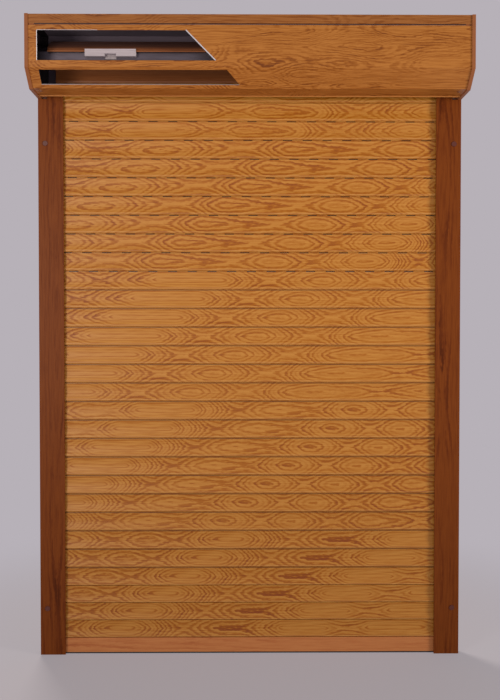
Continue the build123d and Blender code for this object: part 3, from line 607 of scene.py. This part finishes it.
def cap_enamel():
    """Stove enamel on die-cast end caps: warm brown and satin outside, near black painted shade on the faces
    inside the box.
    """
    made, tree, shader = new_finish("Brown stove enamel on die-cast cap", "#925833", 0.52)
    shader["Specular IOR Level"].default_value = 0.2
    place = rest_place(tree)
    parts = node(tree, "ShaderNodeSeparateXYZ", {0: place}).node.outputs
    peel_mm = 6.0
    at = node(tree, "ShaderNodeVectorMath", {0: place, "Scale": 1 / peel_mm}, operation="SCALE")
    peel = node(tree, "ShaderNodeTexNoise", {"Vector": at, "Scale": 1.0, "Detail": 2.0})
    colour = node(tree, "ShaderNodeMix", {0: peel, 6: tint("#9a5f38"), 7: tint("#8a5230")}, 2, data_type="RGBA")
    away = node(tree, "ShaderNodeMath", {0: parts["X"]}, operation="ABSOLUTE")
    away = node(tree, "ShaderNodeMath", {0: away, 1: half_width - CAP_SKIN}, operation="LESS_THAN")
    high = node(tree, "ShaderNodeMath", {0: parts["Z"], 1: box_mm + CAP_FOOT}, operation="GREATER_THAN")
    inner_shade = inside_box(tree, parts)
    # the edge that shows through the groove under the lip keeps its enamel
    lip_drop, lip_half, lip_depth = CAP_LIP
    lip_level = sheet_top - TOP_LIP - lip_drop
    level = node(tree, "ShaderNodeMath", {0: parts["Z"], 1: lip_level, 2: lip_half}, operation="COMPARE")
    front = node(tree, "ShaderNodeMath", {0: parts["Y"], 1: sheet_front + lip_depth}, operation="LESS_THAN")
    lip = node(tree, "ShaderNodeMath", {0: level, 1: front}, operation="MULTIPLY")
    hidden = node(tree, "ShaderNodeMath", {0: 1.0, 1: lip}, operation="SUBTRACT")
    for share in (away, high, hidden):
        inner_shade = node(tree, "ShaderNodeMath", {0: inner_shade, 1: share}, operation="MULTIPLY")
    # painted shade: near black on the cap's faces inside the box
    colour = node(tree, "ShaderNodeMix", {0: inner_shade, 6: colour, 7: tint("#2b2428")}, 2, data_type="RGBA")
    tree.links.new(colour, shader["Base Color"])
    dent = node(tree, "ShaderNodeBump", {"Height": peel, "Distance": 0.05 * MM, "Strength": 0.5})
    tree.links.new(dent, shader["Normal"])
    return made


curtain_foil = slat_foil()
cover_foil = sheet_foil("Oak print foil on folded cover sheet", BOX_OAK)
back_foil = sheet_foil("Oak print foil on folded top sheet", BACK_OAK)
rail_foil = extrusion_foil("Oak print foil on extruded rail", RAIL_OAK, True)
bar_foil = extrusion_foil("Oak print foil on extruded bar", BAR_OAK, False)
roll_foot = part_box("top_slat")[0].z / MM
wound_foil = extrusion_foil("Oak print foil on the roll, shaded at the top", WOUND_OAK, False,
                            (roll_foot, roll_foot + SHADE_RISE))
cheek_enamel = cap_enamel()
# Caps in the rails: dark red-brown dots, a little duller than the foil
cap_plastic = flecked("Red-brown moulded polypropylene", "#5a2416", "#4d1d11", 1.5, 0.45, ior=1.49)
# Funnels, strips and motor ends: near black, spark-eroded matt
black_plastic = flecked("Black moulded polyamide", "#1b1a1c", "#242326", 1.5, 0.5, ior=1.53)
# Hanger clips: pale lilac grey with faint lines along the extrusion
grey_plastic = flecked("Grey extruded PVC", "#c3b8bf", "#b5aab1", 5.0, 0.42, ior=1.53, stretch=(0.1, 1, 1))
# Tube: dull grey metal, drawn lengthwise
zinc_tube = flecked("Zinc-coated steel tube, dulled", "#6e666d", "#5b535a", 9.0, 0.42, 1.0,
                    stretch=(0.15, 1, 1))
# Motor bracket: brighter zinc with a fine spangle
zinc_plate = flecked("Zinc-plated pressed steel", "#a9a8ab", "#949398", 3.0, 0.34, 1.0)
# Hanger straps: flat light grey, since zinc flakes in a binder hide the steel
strap_coat = flecked("Zinc-flake coat on spring steel", "#a79c9f", "#978c90", 2.0, 0.5, stretch=(1, 1, 0.1))
# Motor: pale grey with a faint orange peel
motor_paint = flecked("Pale grey powder coat", "#c2c3c6", "#b4b5b9", 1.2, 0.5, bump_mm=0.05)
# Bar's seal and stops: black, dry and matt
seal_rubber = flecked("Black extruded rubber", "#161516", "#201f20", 2.0, 0.62, ior=1.52, stretch=(0.1, 1, 1))
# Cut edges: a white glint where the saw took the foil off
cut_aluminium = flecked("Bare aluminium, fresh cut", "#e8e6e8", "#d6d4d7", 2.0, 0.45, 1.0)
# Screws in the cover: lacquered to match
screw_lacquer = flecked("Brown-lacquered steel screw", "#7a4a2c", "#6b3d20", 1.0, 0.38)

node_finish = {
    "front_cover": cover_foil, "top_back_sheet": back_foil, "bottom_bar": bar_foil,
    "turning_slats": wound_foil, "top_slat": wound_foil, "rail_caps": cap_plastic,
    "end_cap_left": cheek_enamel, "end_cap_right": cheek_enamel,
    "bottom_seal": seal_rubber, "bar_stops": seal_rubber, "roller_tube": zinc_tube,
    "tube_plug": black_plastic, "bearing_bush": grey_plastic, "motor_body": motor_paint,
    "drive_wheel": black_plastic, "motor_crown": black_plastic, "motor_head": black_plastic,
    "motor_bracket": zinc_plate,
}
for hand in ("left", "right"):
    node_finish[f"guide_rail_{hand}"] = rail_foil
    node_finish[f"guide_strips_{hand}"] = black_plastic
    node_finish[f"inlet_funnel_{hand}"] = black_plastic
    node_finish[f"hanger_clip_{hand}"] = grey_plastic
    node_finish[f"hanger_strap_{hand}"] = strap_coat
for name, finish in node_finish.items():
    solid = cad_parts[name]
    if not solid.material_slots:
        solid.data.materials.append(finish)
    for held in solid.material_slots:
        held.link = "OBJECT"
        held.material = finish

for number in range(1, SLAT_COUNT + 1):
    rolled_slat(number, curtain_foil)

# Bright cut edges of the windows in the cover, where the foil ends short of the cut
left_x = -half_width + WINDOW_INSET
right_x = left_x + WINDOW_TOP
point_x = right_x + WINDOW_SLANT
high_z = top_mm - WINDOW_DROP
low_z = high_z - WINDOW_HEIGHT
forward = (0, -1, 0)
high_corner = (left_x, sheet_front, high_z)
cut_edge("upper_window_left_cut", high_corner, (left_x, sheet_front, low_z),
         (-1, 0, 0), forward, BARE_WIDTH["left"], cut_aluminium)
cut_edge("upper_window_top_cut", high_corner, (left_x + BARE_TOP, sheet_front, high_z),
         (0, 0, 1), forward, BARE_WIDTH["top"], cut_aluminium)
cut_edge("upper_window_slant_cut", (right_x, sheet_front, high_z), (point_x, sheet_front, low_z),
         (high_z - low_z, 0, point_x - right_x), forward, BARE_WIDTH["slant"], cut_aluminium)
corner_z = box_mm + SLOPE_HEIGHT + RIM * (slope_run - SLOPE_HEIGHT) / SLOPE_DEPTH
cut_y = sheet_front + SLOPE_WINDOW_FOOT * SLOPE_DEPTH / slope_run
cut_z = corner_z - SLOPE_WINDOW_FOOT * SLOPE_HEIGHT / slope_run
cut_start, cut_end = ((reach - half_width, cut_y, cut_z) for reach in SLOPE_WINDOW)
cut_edge("slope_window_low_cut", cut_start, cut_end,
         (0, SLOPE_DEPTH, -SLOPE_HEIGHT), (0, -SLOPE_HEIGHT, -SLOPE_DEPTH), BARE_WIDTH["low"], cut_aluminium)

# Screws: two under the ends of the box, four in the motor's bracket
screw_x = half_width - COVER_SCREW_INSET
cover_places = [(side * screw_x, COVER_SCREW_Y, box_mm + RIM) for side in (-1, 1)]
cross_screws("cover_screws", cover_places, (0, 0, -1), SCREW_R, COVER_SCREW_RISE, screw_lacquer)
bracket_low, bracket_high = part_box("motor_bracket")
bracket_mid = (bracket_low + bracket_high) / 2 / MM
apart = (-BRACKET_SCREW_HALF, BRACKET_SCREW_HALF)
bracket_places = [(bracket_low.x / MM, bracket_mid.y + y, bracket_mid.z + z) for y in apart for z in apart]
cross_screws("bracket_screws", bracket_places, (-1, 0, 0), SCREW_R, BRACKET_SCREW_RISE,
             zinc_plate)

# Floor, background and light
BACKGROUND = "#b7b1b8"
FLOOR_RADIUS = 6.0
FLOOR_GAP = 0.0005
FLOOR_FADE = (0.4, 1.3)  # metres over which the floor passes into the background
floor_bm = bmesh.new()
bmesh.ops.create_circle(floor_bm, cap_ends=True, segments=96, radius=FLOOR_RADIUS)
floor_mesh = bpy.data.meshes.new("floor")
floor_bm.to_mesh(floor_mesh)
floor_bm.free()
floor = bpy.data.objects.new("floor", floor_mesh)
floor.location = (0, 0, foot_mm * MM - FLOOR_GAP)
scene.collection.objects.link(floor)
floor_look, tree, shader = new_finish("Pale studio floor", BACKGROUND, 0.9)
spot = node(tree, "ShaderNodeTexCoord", {}, "Object")
away = node(tree, "ShaderNodeVectorMath", {0: spot}, "Value", operation="LENGTH")
fade = node(tree, "ShaderNodeMapRange", {
    "Value": away, "From Min": FLOOR_FADE[0], "From Max": FLOOR_FADE[1], "To Min": 0.5},
    interpolation_type="SMOOTHSTEP")
plain = node(tree, "ShaderNodeEmission", {"Color": tint(BACKGROUND), "Strength": 1.0})
surface = tree.nodes["Principled BSDF"].outputs[0]
both = node(tree, "ShaderNodeMixShader", {0: fade, 1: surface, 2: plain})
tree.links.new(both, tree.nodes["Material Output"].inputs["Surface"])
floor_mesh.materials.append(floor_look)

world = bpy.data.worlds.new("Studio")
scene.world = world
world.use_nodes = True
tree = world.node_tree
tree.nodes.clear()
rays = node(tree, "ShaderNodeLightPath", {}).node.outputs
# the eye, metal and clear pieces all see the plain background
seen = rays["Is Camera Ray"]
for ray in ("Is Glossy Ray", "Is Transmission Ray"):
    seen = node(tree, "ShaderNodeMath", {0: seen, 1: rays[ray]}, operation="MAXIMUM")
soft = node(tree, "ShaderNodeBackground", {"Color": tint("#fff8f0"), "Strength": 0.26})
shown = node(tree, "ShaderNodeBackground", {"Color": tint(BACKGROUND), "Strength": 1.0})
sky = node(tree, "ShaderNodeMixShader", {0: seen, 1: soft, 2: shown})
world_out = tree.nodes.new("ShaderNodeOutputWorld")
tree.links.new(sky, world_out.inputs["Surface"])


def softbox(name, place, aim, width, height, watts):
    """Soft studio lamp aimed at a point."""
    lamp = bpy.data.lights.new(name, "AREA")
    lamp.shape = "RECTANGLE"
    lamp.size = width
    lamp.size_y = height
    lamp.energy = watts
    lamp.color = tint("#fff6ea")[:3]
    lamp.spread = radians(80)
    held = bpy.data.objects.new(name, lamp)
    held.location = place
    held.rotation_euler = (Vector(aim) - Vector(place)).to_track_quat("-Z", "Y").to_euler()
    scene.collection.objects.link(held)


softbox("right_softbox", (2.2, -1.2, 0.3), (0.0, 0.0, 0.35), 0.7, 1.1, 9.1)
softbox("left_softbox", (-1.3, -1.95, 0.3), (0.0, 0.0, 0.35), 0.6, 1.1, 5.6)
softbox("rear_softbox", (-0.8, 1.6, 1.9), (0.0, 0.0, 0.1), 0.8, 0.8, 12.0)

# Camera at the photo's place, with its focal length in pixels of a frame 700 pixels high
FOCAL_PX = 908.0
FRAME_PX = 700.0
TILT_DEG = -1.36
TURN_DEG = -0.49
lens = bpy.data.cameras.new("photo_camera")
lens.sensor_fit = "VERTICAL"
lens.sensor_height = 36.0
lens.lens = FOCAL_PX / FRAME_PX * lens.sensor_height
lens.clip_end = 50.0
camera = bpy.data.objects.new("photo_camera", lens)
camera.location = (-0.0166, -1.964, 0.1045)
level = Matrix.Rotation(radians(90.0 + TILT_DEG), 3, "X")
camera.rotation_euler = (Matrix.Rotation(radians(TURN_DEG), 3, "Z") @ level).to_euler()
scene.collection.objects.link(camera)
scene.camera = camera
